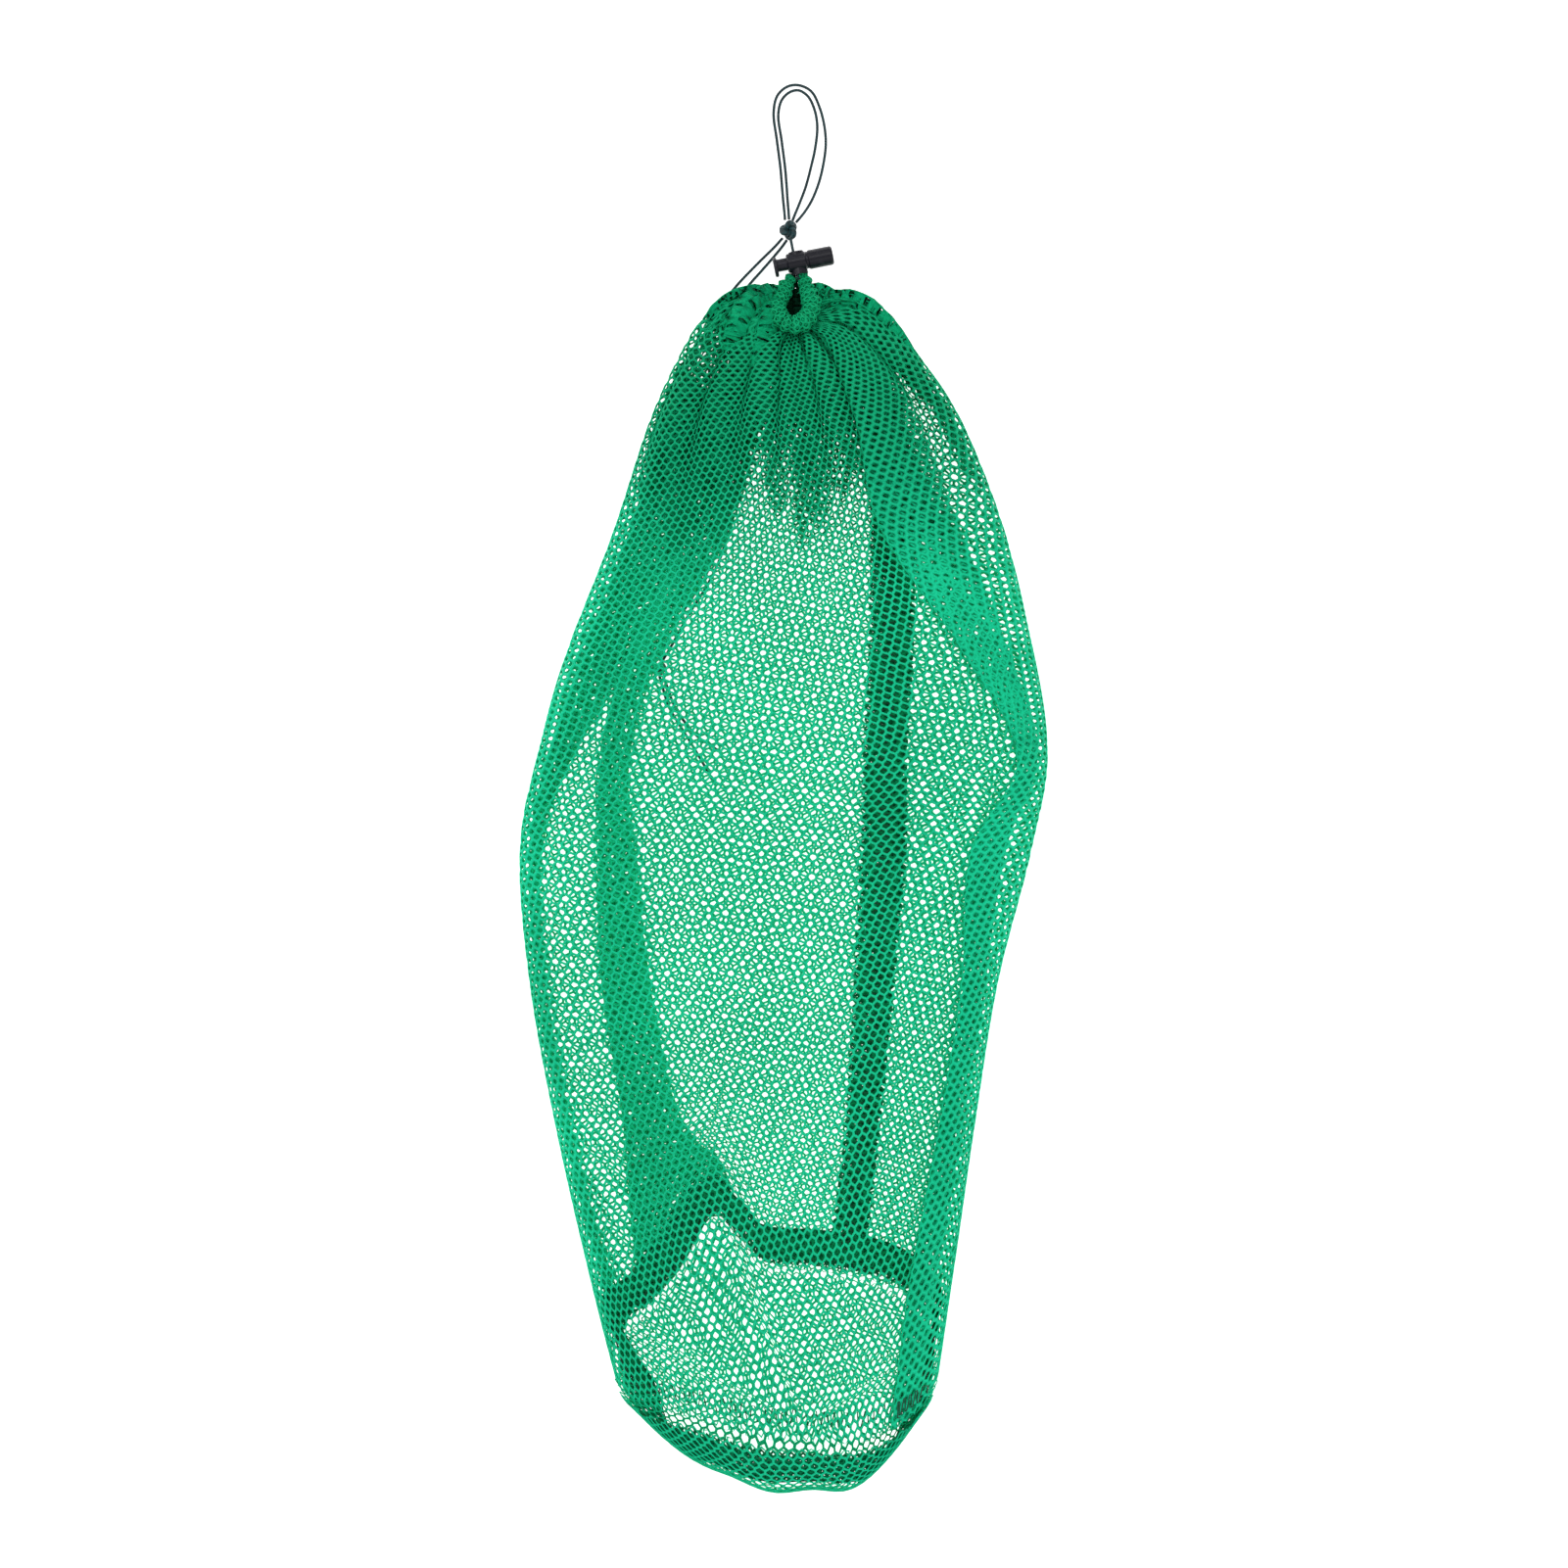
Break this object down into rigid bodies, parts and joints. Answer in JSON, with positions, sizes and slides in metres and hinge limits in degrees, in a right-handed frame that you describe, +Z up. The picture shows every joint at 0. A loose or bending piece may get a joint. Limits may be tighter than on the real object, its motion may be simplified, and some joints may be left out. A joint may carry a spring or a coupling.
{
  "type": "drawstring mesh bag",
  "caption": "Long round-bottomed mesh bag for a net or a catch, gathered on a drawcord with a spring cord lock and a knotted hanging loop.",
  "frame": {"origin": "centre of the bag's footprint on the surface it lies on", "axes": "+Z up through the flattened bag, +Y along the bag towards its mouth, +X across it"},
  "size_m": [0.2197, 0.5923, 0.0301],
  "materials": {
    "netting": "knitted polyethylene netting, slight sheen",
    "seam_netting": "the same netting doubled",
    "thread": "dark green sewing thread",
    "cord": "braided dark teal cord",
    "lock_plastic": "moulded black plastic, soft sheen",
    "spring_steel": "drawn spring wire"
  },
  "bodies": {
    "bag": {"net_wall": "netting", "net_neck": "netting", "bottom_panel": "netting", "bottom_seam_band": "seam_netting", "bottom_seam_thread": "thread", "side_seam_band": "seam_netting", "side_seam_thread": "thread", "mouth_hem": "seam_netting", "drawcord": "cord", "top_knot": "cord", "loop_cord_outer": "cord", "loop_cord_inner": "cord", "tail_cord_left": "cord", "tail_cord_right": "cord", "end_knot": "cord", "cord_end_left": "cord", "cord_end_right": "cord"},
    "lock": {"lock_barrel": "lock_plastic", "lock_spring": "spring_steel"},
    "plunger": {"lock_plunger": "lock_plastic"}
  },
  "joints": [
    {"name": "lock_slide", "type": "slide", "parent": "bag", "child": "lock", "axis": [-0.1908, 0.9816, 0], "range_m": [0, 0.005]},
    {"name": "plunger_press", "type": "slide", "parent": "lock", "child": "plunger", "axis": [0.9816, 0.1908, 0], "range_m": [0, 0.002], "stiffness_N_per_m": 250, "springref_m": -0.006}
  ]
}
